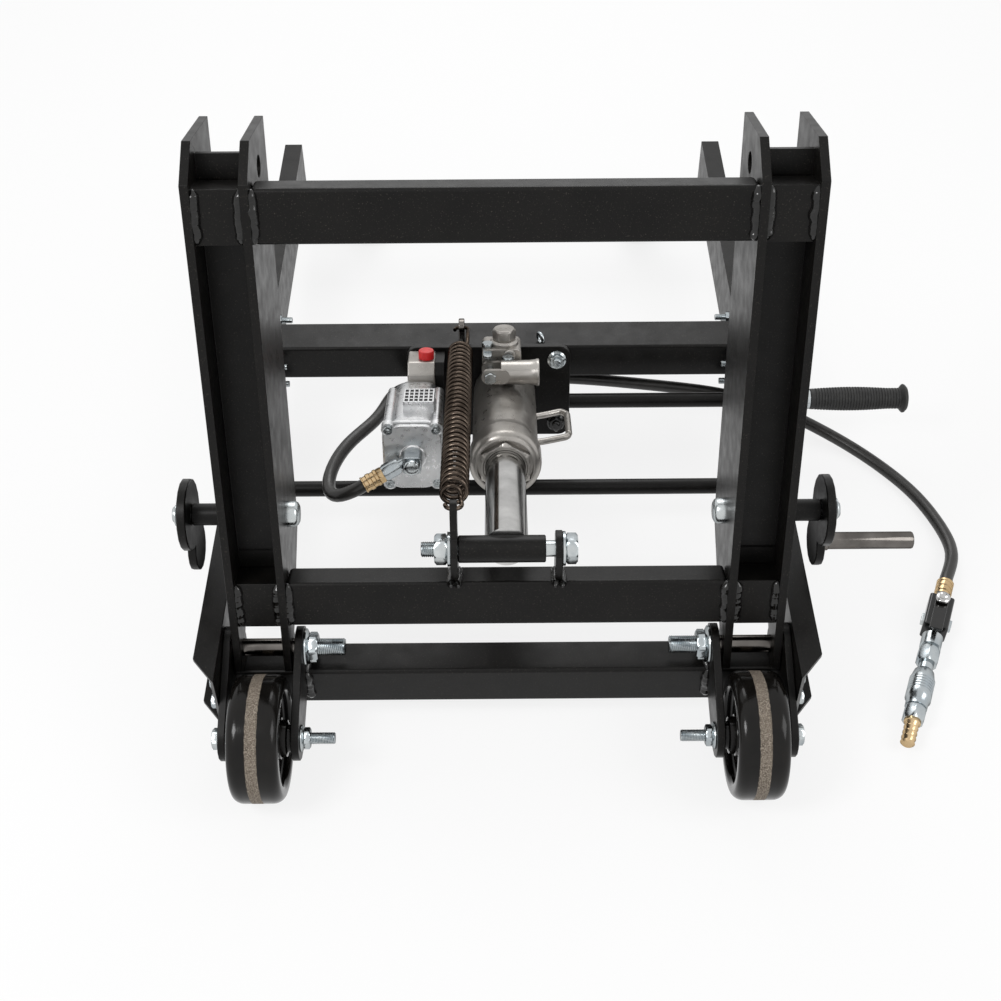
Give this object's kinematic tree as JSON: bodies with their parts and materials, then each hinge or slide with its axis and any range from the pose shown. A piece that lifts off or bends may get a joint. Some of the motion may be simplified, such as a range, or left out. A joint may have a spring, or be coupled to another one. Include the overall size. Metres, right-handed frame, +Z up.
{
  "type": "transmission jack",
  "caption": "Wheeled steel base with a hinged lift frame raised by an air and hydraulic jack, return spring, foot lock and air hose.",
  "frame": {"origin": "floor, under the centre of the object's box without the air line", "axes": "+Z up, +Y from the front wheels to the rear casters, +X towards the stored handle"},
  "size_m": [0.8552, 1.0335, 0.5871],
  "materials": {
    "paint": "black powder coat",
    "zinc": "zinc plated",
    "chrome": "polished",
    "cast": "painted casting",
    "aluminium": "die cast",
    "brass": "plain",
    "rubber": "matt",
    "wheel": "gloss, worn tread",
    "spring": "oiled",
    "red": "gloss"
  },
  "bodies": {
    "base": {"rail_left": "paint", "rail_right": "paint", "front_cross_member": "paint", "rear_cross_tube": "paint", "rear_caster_plate": "paint", "tie_rod": "paint", "wheel_bracket_left_inner": "paint", "wheel_bracket_left_outer": "paint", "wheel_bracket_right_inner": "paint", "wheel_bracket_right_outer": "paint", "front_axle_left": "zinc", "front_axle_right": "zinc", "lift_pivot_pin_left": "zinc", "lift_pivot_pin_right": "zinc", "jack_clevis": "paint", "jack_pin": "zinc", "spring_anchor": "zinc", "return_spring": "spring", "air_hose": "rubber", "air_valve": "paint", "air_coupler": "zinc"},
    "lift_frame": {"lift_arm_left": "paint", "lift_arm_right": "paint", "top_cross_tube": "paint", "lower_cross_tube": "paint", "ear_left": "paint", "ear_right": "paint", "clevis_bolt": "zinc", "lock_pin_left": "zinc", "lock_pin_right": "zinc"},
    "ram": {"ram_sleeve": "paint", "ram_rod": "chrome"},
    "jack": {"jack_cylinder": "cast", "gland_nut": "cast", "jack_base_plate": "paint", "pump_block": "cast", "valve_block": "cast", "filler_plug": "red", "air_motor_body": "aluminium", "air_motor_cover": "aluminium", "exhaust_block": "aluminium", "banjo_fitting": "zinc", "carry_handle": "zinc", "motor_ferrule": "brass"},
    "pump_socket": {"handle_socket": "cast"},
    "stored_handle": {"handle_bar": "paint", "handle_grip": "rubber"},
    "lock_left": {"lock_link_left": "paint"},
    "lock_right": {"lock_link_right": "paint", "pedal_rod": "zinc"},
    "air_lever": {"valve_lever": "paint"},
    "front_wheel_left": {"front_wheel_left": "wheel"},
    "caster_swivel_left": {"caster_fork_left": "zinc", "caster_axle_left": "zinc"},
    "caster_roller_left": {"caster_wheel_left": "wheel"},
    "front_wheel_right": {"front_wheel_right": "wheel"},
    "caster_swivel_right": {"caster_fork_right": "zinc", "caster_axle_right": "zinc"},
    "caster_roller_right": {"caster_wheel_right": "wheel"}
  },
  "joints": [
    {"name": "lift", "type": "hinge", "parent": "base", "child": "lift_frame", "pos_m": [-0.0805, -0.36725, 0.1], "axis": [1, 0, 0], "range_deg": [-40, 0], "deforming": ["return_spring", "air_hose"]},
    {"name": "ram_swing", "type": "hinge", "parent": "lift_frame", "child": "ram", "pos_m": [-0.0805, -0.3362, 0.21181], "axis": [1, 0, 0], "range_deg": [0, 44.93]},
    {"name": "ram_stroke", "type": "slide", "parent": "ram", "child": "jack", "axis": [0, -0.9574, 0.2887], "range_m": [0, 0.07444]},
    {"name": "pump_swing", "type": "hinge", "parent": "jack", "child": "pump_socket", "pos_m": [-0.0965, -0.02434, 0.1724], "axis": [0, -0.9574, 0.2887], "range_deg": [0, 35]},
    {"name": "handle_draw", "type": "slide", "parent": "base", "child": "stored_handle", "axis": [1, 0, 0], "range_m": [0, 0.2]},
    {"name": "lock_left_swing", "type": "hinge", "parent": "lift_frame", "child": "lock_left", "pos_m": [-0.3915, -0.29335, 0.21858], "axis": [1, 0, 0], "range_deg": [-25, 25]},
    {"name": "lock_right_swing", "type": "hinge", "parent": "lift_frame", "child": "lock_right", "pos_m": [0.2305, -0.29335, 0.21858], "axis": [1, 0, 0], "range_deg": [-25, 25]},
    {"name": "air_lever_turn", "type": "hinge", "parent": "base", "child": "air_lever", "pos_m": [0.40283, -0.24936, 0.0145], "axis": [0, 0, 1], "range_deg": [0, 90]},
    {"name": "front_wheel_left_roll", "type": "hinge", "parent": "base", "child": "front_wheel_left", "pos_m": [-0.3255, -0.45325, 0.0635], "axis": [1, 0, 0], "continuous": true},
    {"name": "caster_left_swivel", "type": "hinge", "parent": "base", "child": "caster_swivel_left", "pos_m": [-0.2755, 0.43175, 0.095], "axis": [0, 0, 1], "continuous": true},
    {"name": "caster_left_roll", "type": "hinge", "parent": "caster_swivel_left", "child": "caster_roller_left", "pos_m": [-0.2755, 0.47175, 0.0375], "axis": [1, 0, 0], "continuous": true},
    {"name": "front_wheel_right_roll", "type": "hinge", "parent": "base", "child": "front_wheel_right", "pos_m": [0.1645, -0.45325, 0.0635], "axis": [1, 0, 0], "continuous": true},
    {"name": "caster_right_swivel", "type": "hinge", "parent": "base", "child": "caster_swivel_right", "pos_m": [0.1145, 0.43175, 0.095], "axis": [0, 0, 1], "continuous": true},
    {"name": "caster_right_roll", "type": "hinge", "parent": "caster_swivel_right", "child": "caster_roller_right", "pos_m": [0.1145, 0.47175, 0.0375], "axis": [1, 0, 0], "continuous": true}
  ],
  "couplings": [
    {"joint": "ram_swing", "follows": "lift", "ratio": -1.1157},
    {"joint": "ram_stroke", "follows": "lift", "m_per_rad": -0.10619}
  ]
}
